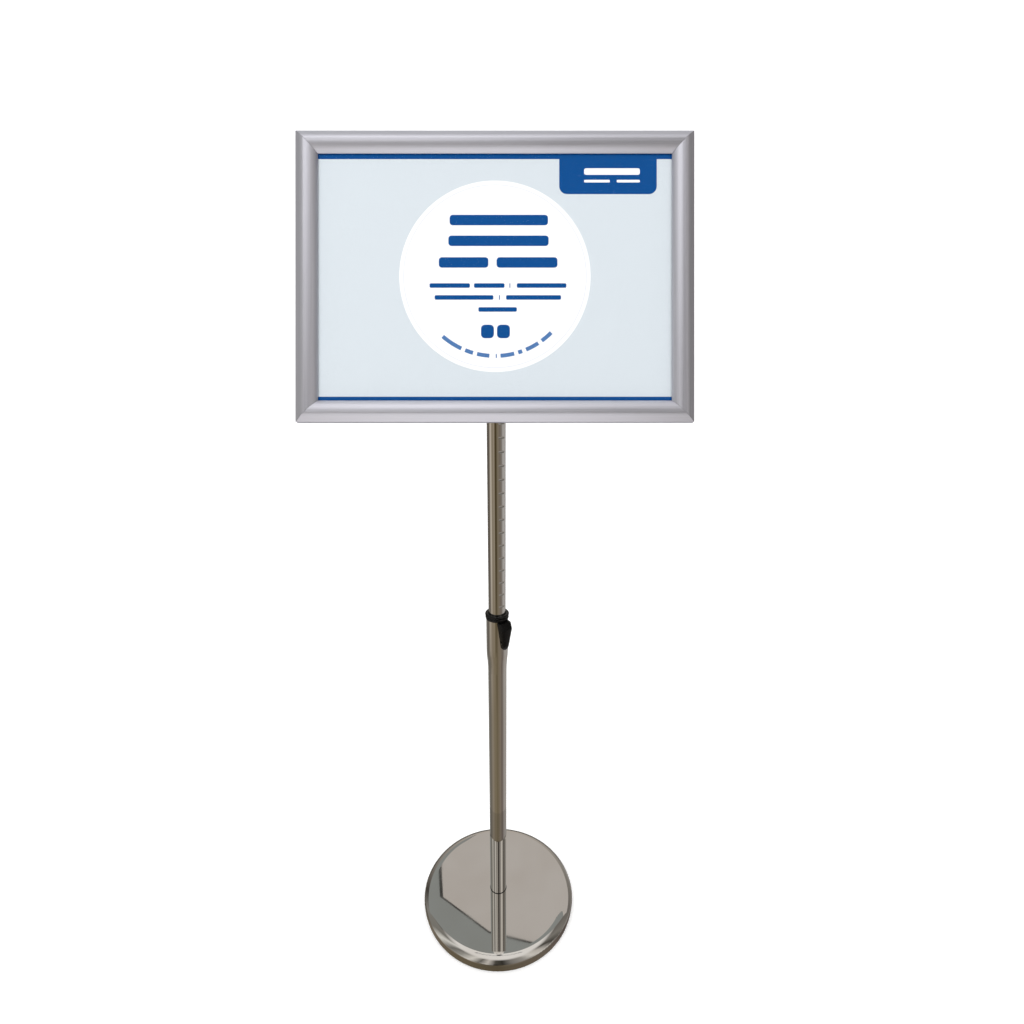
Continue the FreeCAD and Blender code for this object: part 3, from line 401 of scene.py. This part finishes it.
collar_low, collar_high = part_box("collar")
collar_radius, collar_foot, collar_top = collar_high.x * 1000, collar_low.z * 1000, collar_high.z * 1000
bead = (collar_top - collar_foot) / 4
collar_step = 0.4
collar_bore, mouth_round, mouth_land = 12.8, 1.5, 0.2
rim_radius, rim_height = 16.1, collar_foot + 1.0
edge_round = 0.5
collar_line = [(rim_radius, collar_foot), (rim_radius + edge_round, collar_foot)]
collar_line += arc((collar_radius - collar_step - bead, collar_foot + bead), bead, -40, 62, 14)
collar_line += arc((collar_radius - bead, collar_top - bead), bead, -62, 90, 22)
collar_line += [(collar_bore + mouth_round + mouth_land, collar_top)]
collar_line += arc((collar_bore + mouth_round, collar_top - mouth_round), mouth_round, 90, 180, 8)
collar_line += [(collar_bore, rim_height), (rim_radius, rim_height)]
collar = lathe("collar_moulding", collar_line)
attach(collar, "column")
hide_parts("collar")

# Black nylon, moulded in a polished tool: glossy, with a faint swell where it shrank.
black_nylon, tree, shader = surface("nylon, gloss moulded", "060505", 0.2, 0.0, Specular_IOR_Level=0.35)
vary(tree, shader, place_in(tree, 5), ("050505", "0A0908"), (0.16, 0.26), 0.012, 2.0)
collar.data.materials.append(black_nylon)

# Acetal, turned and milled: satin black with fine turning rings.
black_acetal, tree, shader = surface("acetal, machined", "101010", 0.38)
vary(tree, shader, place_in(tree, 1.0, (12, 12, 0.25)), ("0D0D0D", "161616"), (0.32, 0.46), 0.01)
dress(black_acetal, "guide_sleeve")


# ---------------------------------------------------------------- height latch
# A black moulded thumb slider with five ribs. Pushed down against a small coil spring, its
# slanted slots draw the steel lock pin out of the tube's notch.

latch_azimuth = math.atan2(joints["pin_slide"]["axis"][0], -joints["pin_slide"]["axis"][1])
latch_turn = Matrix.Rotation(latch_azimuth, 4, "Z")
latch_foot, latch_top = [corner.z * 1000 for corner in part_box("latch_slider")]
latch_length = latch_top - latch_foot
latch_reach = ((0, 20.4), (9, 25.4), (38, 22.6), (44, 21.0), (45, 19.5))
latch_back = 16.3
latch_half_top, latch_half_tip = 10.0, 5.0
latch_corner = 2.2
latch_edge, latch_crown, latch_least = 1.3, 0.4, 0.4
knee_round, knee_samples = 0.3, 4
rib_count, rib_deep, rib_half = 5, 0.55, 0.42
rib_end, rib_step, plain_step = 0.8, 0.22, 0.6


def latch_out(drop):
    """Distance of the latch's face from the pole's axis, with its knees rounded and its ribs."""
    total = 0.0
    for k in range(-knee_samples, knee_samples + 1):
        d = min(max(drop + k * knee_round, 0), latch_length)
        for (d0, r0), (d1, r1) in zip(latch_reach, latch_reach[1:]):
            if d0 <= d <= d1:
                total += (r0 + (r1 - r0) * (d - d0) / (d1 - d0)) / (2 * knee_samples + 1)
                break
    for i in range(rib_count):
        middle = latch_reach[1][0] * (i + rib_end) / (rib_count - 1 + 2 * rib_end)
        total -= rib_deep * math.exp(-((drop - middle) / rib_half) ** 2)
    return total


def latch_half(drop):
    """Half the latch's width: rounded upper corners, a taper and a round tip."""
    straight = latch_length - latch_half_tip
    half = latch_half_top + (latch_half_tip - latch_half_top) * min(drop, straight) / straight
    if drop < latch_corner:
        half -= latch_corner - math.sqrt(max(latch_corner ** 2 - (latch_corner - drop) ** 2, 0))
    if drop > straight:
        half = math.sqrt(max(latch_half_tip ** 2 - (drop - straight) ** 2, 0.01))
    return half


def latch_ring(drop):
    """Points round the latch at one height: crowned front, rounded edges, hollow back."""
    half = latch_half(drop)
    root = math.sqrt(latch_back ** 2 - half ** 2)
    front = max(latch_out(drop), root + latch_least)
    edge = min(latch_edge, half * 0.45, (front - root) * 0.6)
    line = [(-half, -(root + (front - edge - root) * i / 3)) for i in range(3)]
    line += [(x, -y) for x, y in arc((-half + edge, front - edge), edge, 180, 90, 8)]
    flat = half - edge
    line += [(x, -(front + latch_crown * (1 - (x / flat) ** 2))) for x in
             [flat * (i / 6 - 1) for i in range(1, 12)]]
    line += [(x, -y) for x, y in arc((half - edge, front - edge), edge, 90, 0, 8)]
    line += [(half, -(front - edge - (front - edge - root) * i / 3)) for i in range(1, 4)]
    line += [(x, -math.sqrt(latch_back ** 2 - x ** 2)) for x in [half * (1 - i / 6) for i in range(1, 12)]]
    return [Vector((x, y, latch_top - drop)) for x, y in line]


def skinned(name, rings, crease_degrees=35):
    """Closed skin over a row of equal rings of points in millimetres."""
    count = len(rings[0])
    points = [p / 1000 for ring in rings for p in ring]
    faces = [tuple(reversed(range(count)))]
    for i in range(len(rings) - 1):
        for k in range(count):
            m = (k + 1) % count
            faces.append((i * count + k, i * count + m, (i + 1) * count + m, (i + 1) * count + k))
    faces.append(tuple(range((len(rings) - 1) * count, len(rings) * count)))
    made = mesh_object(name, points, faces, crease_degrees)
    shape = bmesh.new()
    shape.from_mesh(made.data)
    bmesh.ops.recalc_face_normals(shape, faces=shape.faces)
    shape.to_mesh(made.data)
    shape.free()
    return made


def hollowed(obj, boxes):
    """Cut boxes, given as low and high corners in millimetres, out of an object."""
    for low, high in boxes:
        corners = [Vector((x, y, z)) / 1000 for x in (low[0], high[0]) for y in (low[1], high[1])
                   for z in (low[2], high[2])]
        cutter = mesh_object("cutter", corners, [(0, 1, 3, 2), (4, 6, 7, 5), (0, 4, 5, 1), (2, 3, 7, 6),
                                                 (0, 2, 6, 4), (1, 5, 7, 3)])
        cut = obj.modifiers.new("pocket", "BOOLEAN")
        cut.object = cutter
        cut.solver = "EXACT"
        solved = bpy.data.meshes.new_from_object(obj.evaluated_get(bpy.context.evaluated_depsgraph_get()))
        obj.modifiers.clear()
        obj.data = solved
        bpy.data.objects.remove(cutter)


latch_drops = [0.02, 0.15, 0.4]
while latch_drops[-1] < latch_length - 0.3:
    latch_drops.append(latch_drops[-1] + (rib_step if latch_drops[-1] < 10 else plain_step))
latch = skinned("latch_moulding", [latch_ring(drop) for drop in latch_drops + [latch_length - 0.03]])

# Its pocket goes over the sleeve's boss and the spring; the relief and the cross slot below the
# spring clear the lock pin and its key through the latch's travel.
pin_height = sum(corner.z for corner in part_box("lock_pin")) * 500
pocket_half, pocket_out, pocket_foot, pocket_roof = 4.8, 20.3, 521.7, latch_top - 4
relief_half, relief_out, relief_under, relief_over = 2.8, 21.3, 2.8, 7.8
slot_half, slot_in, slot_out, slot_under, slot_over = 6.3, 17.2, 21.1, 1.4, 6.4
past_tube = 10
hollowed(latch, [
    ((-pocket_half, -pocket_out, pocket_foot), (pocket_half, -past_tube, pocket_roof)),
    ((-relief_half, -relief_out, pin_height - relief_under),
     (relief_half, -past_tube, pin_height + relief_over)),
    ((-slot_half, -slot_out, pin_height - slot_under), (slot_half, -slot_in, pin_height + slot_over))])
latch.data.transform(latch_turn)
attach(latch, "latch")
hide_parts("latch_slider")

# ABS, moulded in an eroded tool: satin black with a fine even grain, drawn at 0.5 mm to show.
black_abs, tree, shader = surface("ABS, satin moulded", "040404", 0.2, 0.0, Specular_IOR_Level=0.3)
vary(tree, shader, place_in(tree, 0.5), ("030303", "060606"), (0.16, 0.24), 0.006, 2.0)
latch.data.materials.append(black_abs)

# The spring is a coil of round wire between the boss and the roof of the latch's pocket.
spring_radius, wire_radius, spring_turns, turn_steps, wire_sides = 1.55, 0.25, 6, 20, 8
spring_low, spring_high = [corner.z * 1000 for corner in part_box("latch_spring")]
spring_low += wire_radius
spring_high -= wire_radius
spring_out = 18.1
coil_rings = []
for i in range(spring_turns * turn_steps + 1):
    a = 2 * math.pi * i / turn_steps
    height = spring_low + (spring_high - spring_low) * i / (spring_turns * turn_steps)
    out = Vector((math.cos(a), math.sin(a), 0))
    middle = Vector((0, -spring_out, height)) + out * spring_radius
    coil_rings.append([middle + (out * math.cos(b) + Vector((0, 0, math.sin(b)))) * wire_radius
                       for b in [2 * math.pi * k / wire_sides for k in range(wire_sides)]])
coil = skinned("latch_coil_spring", coil_rings)
coil.data.transform(latch_turn)
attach(coil, "column")
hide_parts("latch_spring")
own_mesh(coil)

# Spring steel, drawn wire and rolled strip: grey with a straw tint along its length.
spring_steel, tree, shader = surface("spring steel, tempered", "8F8C86", 0.30, 1.0)
vary(tree, shader, place_in(tree, 1.5), ("87857F", "9A948A"), (0.24, 0.38), 0.006)
coil.data.materials.append(spring_steel)

# Ground pin steel: bright, with fine grinding marks round it.
pin_steel, tree, shader = surface("tool steel, ground", "A6A7A9", 0.22, 1.0)
vary(tree, shader, place_in(tree, 0.5, (8, 8, 1)), ("9C9DA0", "B0B1B2"), (0.16, 0.28), 0.004)
dress(pin_steel, "lock_pin")


# ---------------------------------------------------------------- inner tube
# Drawn and chromed steel tube with a row of pressed notches for the lock pin. A nylon bush
# runs in the outer tube at its foot, and a nylon plug with a tongue fills its top.

dress(tube_chrome, "inner_tube")

# Nylon, moulded matt: black with the soft sheen of a worn bearing face.
matt_nylon, tree, shader = surface("nylon, matt moulded", "141414", 0.5)
vary(tree, shader, place_in(tree, 0.9), ("101010", "1B1B1B"), (0.42, 0.6), 0.03)
dress(matt_nylon, "foot_bush", "mast_plug")


# ---------------------------------------------------------------- tilt joint
# A pressed steel bracket, powder coated black, holds the tongue between two fibre washers. A
# hexagon bolt runs through, and a lobed hand knob with a brass thread pulls the ears together.

# Powder coat on steel: black with the soft orange peel of baked powder.
powder_coat, tree, shader = surface("powder coat, baked on steel", "131313", 0.42)
vary(tree, shader, place_in(tree, 0.9), ("101010", "191919"), (0.36, 0.5), 0.05, 1.5)
dress(powder_coat, "tilt_bracket")
dress(zinc_steel, "tilt_bolt")

# Vulcanised fibre, punched: dull red-brown with darker fibres.
red_fibre, tree, shader = surface("vulcanised fibre, punched", "7A3A2C", 0.7)
vary(tree, shader, place_in(tree, 0.5, (6, 1, 1)), ("6B3126", "8A4637"), (0.6, 0.8), 0.03)
dress(red_fibre, "tilt_washers", "friction_washer")

knob_low, knob_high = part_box("tilt_knob")
knob_start, knob_end = knob_low.x * 1000, knob_high.x * 1000
tilt_axis = Vector(joints["head_tilt"]["pos_m"]) * 1000
knob_radius, lobe_height, lobes = 13.4, 1.6, 6
knob_round, knob_bore, bore_depth = 2.6, 5.0, 13.0
dish_radius, dish_depth, dish_slope = 8.0, 1.0, 0.4
knob_steps, round_steps = 144, 8


def knob_ring(along, scale_in, fixed=None):
    """One ring of the knob at a distance along the tilt axis, drawn in from its lobes."""
    ring = []
    for i in range(knob_steps):
        a = 2 * math.pi * i / knob_steps
        radius = fixed or knob_radius + lobe_height * math.cos(lobes * a) - scale_in
        ring.append(Vector((along, tilt_axis.y + radius * math.cos(a), tilt_axis.z + radius * math.sin(a))))
    return ring


knob_rings = [knob_ring(knob_start + bore_depth, 0, knob_bore), knob_ring(knob_start, 0, knob_bore)]
edge_turns = [math.radians(90 * i / round_steps) for i in range(round_steps + 1)]
for a in edge_turns:
    knob_rings.append(knob_ring(knob_start + knob_round * (1 - math.cos(a)), knob_round * (1 - math.sin(a))))
for a in reversed(edge_turns):
    knob_rings.append(knob_ring(knob_end - knob_round * (1 - math.cos(a)), knob_round * (1 - math.sin(a))))
knob_rings.append(knob_ring(knob_end, 0, dish_radius + dish_slope))
knob_rings.append(knob_ring(knob_end - dish_depth, 0, dish_radius - dish_slope))
knob = skinned("hand_knob", knob_rings, 30)
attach(knob, "knob")
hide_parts("tilt_knob")
knob.data.materials.append(black_abs)

# Brass, turned: warm yellow with fine turning marks.
turned_brass, tree, shader = surface("brass, turned", "C9A25C", 0.25, 1.0)
vary(tree, shader, place_in(tree, 0.5, (0.3, 8, 8)), ("BE9752", "D3AE6A"), (0.2, 0.34), 0.006)
dress(turned_brass, "knob_insert")


# ---------------------------------------------------------------- swivel and cross bar
# A zinc plated stud welded to a galvanised strip turns in the bracket's plate on a fibre
# disc, under a washer and a self-locking nut. Four pan head screws hold the strip's ends.

dress(zinc_steel, "swivel_stud", "swivel_washer", "swivel_nut", "cross_bar_screws")

# Hot-dip galvanised strip: grey crystals about 7 mm across, each at its own tone.
galvanised, tree, shader = surface("zinc, hot dipped strip", "A5A9AC", 0.42, 1.0)
spangle = node(tree, "ShaderNodeTexVoronoi", {"Vector": place_in(tree, 7), "Scale": 1.0}, feature="F1")
tone = node(tree, "ShaderNodeSeparateColor", {0: spangle.outputs["Color"]}).outputs[0]
tree.links.new(ramp(tree, tone, [(0.0, "989DA1"), (1.0, "B7BABC")]), shader.inputs["Base Color"])
glint = node(tree, "ShaderNodeMapRange", {0: tone, 3: 0.32, 4: 0.55}).outputs[0]
tree.links.new(glint, shader.inputs["Roughness"])
dress(galvanised, "cross_bar")


# ---------------------------------------------------------------- fixed frame
# Four aluminium extrusions, sawn to 45 degrees, joined by steel corner keys with two screws
# each. They carry the hinge beads, and a white polystyrene panel lies on their flanges.

face_out = Vector(joints["head_swivel"]["axis"]).normalized()
face_right = Vector((1, 0, 0))
face_up = face_out.cross(face_right).normalized()
head_place = Matrix.Translation(Vector(joints["head_swivel"]["pos_m"])) @ Matrix(
    (face_right, face_up, face_out)).transposed().to_4x4()
lean_turn = (math.atan2(face_up.z, face_up.y) - math.pi / 2, 0, 0)


def anodised(name, colours, stretch):
    """Anodised aluminium with die lines along one way of the frame."""
    made, tree, shader = surface(name, colours[0], 0.46, 1.0)
    place = place_in(tree, 0.7, stretch, lean_turn)
    vary(tree, shader, place, colours, (0.42, 0.50), 0.003, 3.0)
    return made


# Aluminium, extruded and satin anodised: pale, slightly cool grey with a soft sheen and faint
# die lines along each bar, drawn at 0.7 mm so that they show.
across_bars, upright_bars = ("top", "bottom"), ("left", "right")
anodised_across = anodised("aluminium, satin anodised, bars across", ("CBCBD5", "D8D8E1"), (200, 1, 1))
anodised_upright = anodised("aluminium, satin anodised, upright bars", ("CBCBD5", "D8D8E1"), (1, 1, 200))
for side in across_bars:
    dress(anodised_across, "back_profile_" + side)
for side in upright_bars:
    dress(anodised_upright, "back_profile_" + side)
dress(zinc_steel, "corner_keys", "corner_screws")

# Polystyrene sheet, extruded: white, faintly glossy, with a slow ripple.
white_styrene, tree, shader = surface("polystyrene, extruded sheet", "D6D6D3", 0.45)
vary(tree, shader, place_in(tree, 25), ("D4D4D1", "D9D9D6"), (0.4, 0.52), 0.03, 2.0)
dress(white_styrene, "back_panel")


# ---------------------------------------------------------------- printed sheet
# A landscape A3 sheet of coated paper, printed in blues: a band along its top and bottom
# edges, a tab that hangs from the top band, and a white disc with lines of text in it. All
# text is drawn as plain bars, and so are the two lines on the tab.

paper_low = 40.7
paper_gauge = 0.1
ink_gauge = 0.03
sheet_half = (210.0, 148.5)


def rounded(x0, x1, y0, y1, radius, steps=8):
    """Outline of a rectangle with rounded corners."""
    outline = []
    for cx, cy, start in ((x1 - radius, y1 - radius, 0), (x0 + radius, y1 - radius, 90),
                          (x0 + radius, y0 + radius, 180), (x1 - radius, y0 + radius, 270)):
        outline += arc((cx, cy), radius, start, start + 90, steps)
    return outline


def printed(name, outlines, low, gauge):
    """Thin flat shapes on the sheet, from (x, y) outlines in millimetres."""
    points, faces = [], []
    for outline in outlines:
        start, count = len(points), len(outline)
        for z in (low, low + gauge):
            points += [head_place @ (Vector((x, y, z)) / 1000) for x, y in outline]
        faces.append(tuple(start + k for k in reversed(range(count))))
        faces.append(tuple(start + count + k for k in range(count)))
        for k in range(count):
            m = (k + 1) % count
            faces.append((start + k, start + m, start + count + m, start + count + k))
    made = mesh_object(name, points, faces)
    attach(made, "head")
    return made


def ring_outline(centre, radius, width, steps=180):
    """Outlines of the short pieces that make up a thin printed ring."""
    pieces = []
    for i in range(steps):
        start, end = 360 * i / steps, 360 * (i + 1) / steps
        pieces.append(arc(centre, radius, start, end, 1) + arc(centre, radius - width, end, start, 1))
    return pieces


def curved_bar(centre, radius, height, start, end):
    """Bar bent round a centre below it, angles in degrees from straight down."""
    return (arc(centre, radius + height / 2, start - 90, end - 90, 8)
            + arc(centre, radius - height / 2, end - 90, start - 90, 8))


# Coated paper: smooth, with the slight mottle of its fibres.
coated_paper, tree, shader = surface("paper, coated and printed pale blue", "D3DDE5", 0.55)
vary(tree, shader, place_in(tree, 3), ("D1D9DE", "D4DCE1"), (0.5, 0.62), 0.004, 5.0)
sheet_edge = rounded(-sheet_half[0], sheet_half[0], -sheet_half[1], sheet_half[1], 0.5, 2)
sheet = printed("printed_sheet", [sheet_edge], paper_low, paper_gauge)
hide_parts("poster")
sheet.data.materials.append(coated_paper)


def ink(name, colours):
    """Offset printing ink on paper: flat colour with the paper's mottle, a little glossier."""
    made, tree, shader = surface(name, colours[0], 0.45, 0.0, Specular_IOR_Level=0.12)
    vary(tree, shader, place_in(tree, 2), colours, (0.4, 0.52), 0.0, 5.0)
    return made


navy_ink = ink("ink, deep blue offset", ("004788", "004B8C"))
light_blue_ink = ink("ink, light blue offset", ("4C74A8", "5179AC"))
white_ink = ink("ink, opaque white", ("F6F6F6", "F8F8F8"))
grey_ink = ink("ink, pale grey offset", ("D8DAE3", "DDDFE6"))

# The inks lie on the paper in up to three layers, one above another.
first = paper_low + paper_gauge
second = first + ink_gauge
third = second + ink_gauge
top_band, bottom_band = 136.2, 136.8
disc_centre, disc_radius = (0.0, 1.6), 110.0
ring_inset, ring_width = 4.6, 0.7
bands = printed("printed_bands", [
    rounded(-sheet_half[0], sheet_half[0], top_band, sheet_half[1], 0.3, 2),
    rounded(-sheet_half[0], sheet_half[0], -sheet_half[1], -bottom_band, 0.3, 2)], first, ink_gauge)
bands.data.materials.append(navy_ink)
disc = printed("printed_disc", [arc(disc_centre, disc_radius, 0, 358, 179)], first, ink_gauge)
disc.data.materials.append(white_ink)
fine_ring = ring_outline(disc_centre, disc_radius - ring_inset, ring_width)
ring = printed("printed_ring", fine_ring, second, ink_gauge)
ring.data.materials.append(grey_ink)
tab_left, tab_right, tab_low, tab_round = 73.9, 186.0, 96.0, 9.0
tab = printed("printed_tab", [rounded(tab_left, tab_right, tab_low, sheet_half[1] - 0.5, tab_round)],
              second, ink_gauge)
tab.data.materials.append(navy_ink)

text_lines = (
    (66.2, 12.0, ((-52.1, 61.0),)),
    (42.4, 12.0, ((-53.5, 61.7),)),
    (17.5, 12.0, ((-64.5, -7.6), (1.9, 71.9))),
    (-61.8, 15.5, ((-16.0, -1.2), (2.4, 17.2))),
)
small_lines = (
    (-9.0, 5.2, ((-75.1, -28.8), (-24.1, 11.0), (16.7, 17.7), (25.2, 82.1))),
    (-22.7, 5.2, ((-69.3, -1.8), (4.7, 5.7), (12.8, 76.0))),
    (-36.5, 5.2, ((-19.0, 25.2),)),
)
tab_lines = (
    (121.9, 7.5, ((102.5, 166.5),)),
    (110.9, 3.0, ((102.5, 132.0), (140.0, 166.5))),
)
curved_radius, curved_height = 91.5, 4.6
curved_words = ((-41, -25), (-22, -16), (-13, -4), (0.6, 1.4), (4, 14), (17, 20), (23, 33), (36, 45))
bar_round = 0.3


def bars(lines):
    """Outlines of word bars from (height, thickness, words) lines."""
    outlines = []
    for y, thickness, words in lines:
        for x0, x1 in words:
            radius = min(thickness, x1 - x0) * bar_round
            outlines.append(rounded(x0, x1, y - thickness / 2, y + thickness / 2, radius, 5))
    return outlines


text = printed("printed_lines", bars(text_lines + small_lines), second, ink_gauge)
text.data.materials.append(navy_ink)
tab_text = printed("printed_tab_lines", bars(tab_lines), third, ink_gauge)
tab_text.data.materials.append(white_ink)
curved_bars = [curved_bar(disc_centre, curved_radius, curved_height, a, b) for a, b in curved_words]
curved_text = printed("printed_curved_line", curved_bars, second, ink_gauge)
curved_text.data.materials.append(light_blue_ink)


# ---------------------------------------------------------------- cover sheet
# Clear anti-glare PVC, calendered 0.5 mm thick, that lies over the print under the rails.

# Calendered PVC: nearly invisible, with a broken-up, faint shine.
clear_pvc, tree, shader = surface("PVC, clear calendered", "8C9094", 0.3, 0.0, Alpha=0.005)
vary(tree, shader, place_in(tree, 1.2), ("888C90", "909498"), (0.26, 0.36), 0.006)
dress(clear_pvc, "cover_sheet")


# ---------------------------------------------------------------- snap rails
# Four hinged aluminium extrusions that snap down on the cover sheet. Steel leaf springs under
# them hold them shut or open. They are sawn to 45 degrees and satin anodised like the frame.

for side in across_bars:
    dress(anodised_across, "snap_rail_" + side)
for side in upright_bars:
    dress(anodised_upright, "snap_rail_" + side)
for obj in bpy.data.objects:
    if obj.type == "MESH" and obj.active_material in (anodised_across, anodised_upright):
        bars_only.objects.link(obj)
    if obj.name.startswith(("back_profile_", "cross_bar")):
        back_only.objects.link(obj)
for side in across_bars + upright_bars:
    dress(spring_steel, "rail_springs_" + side)
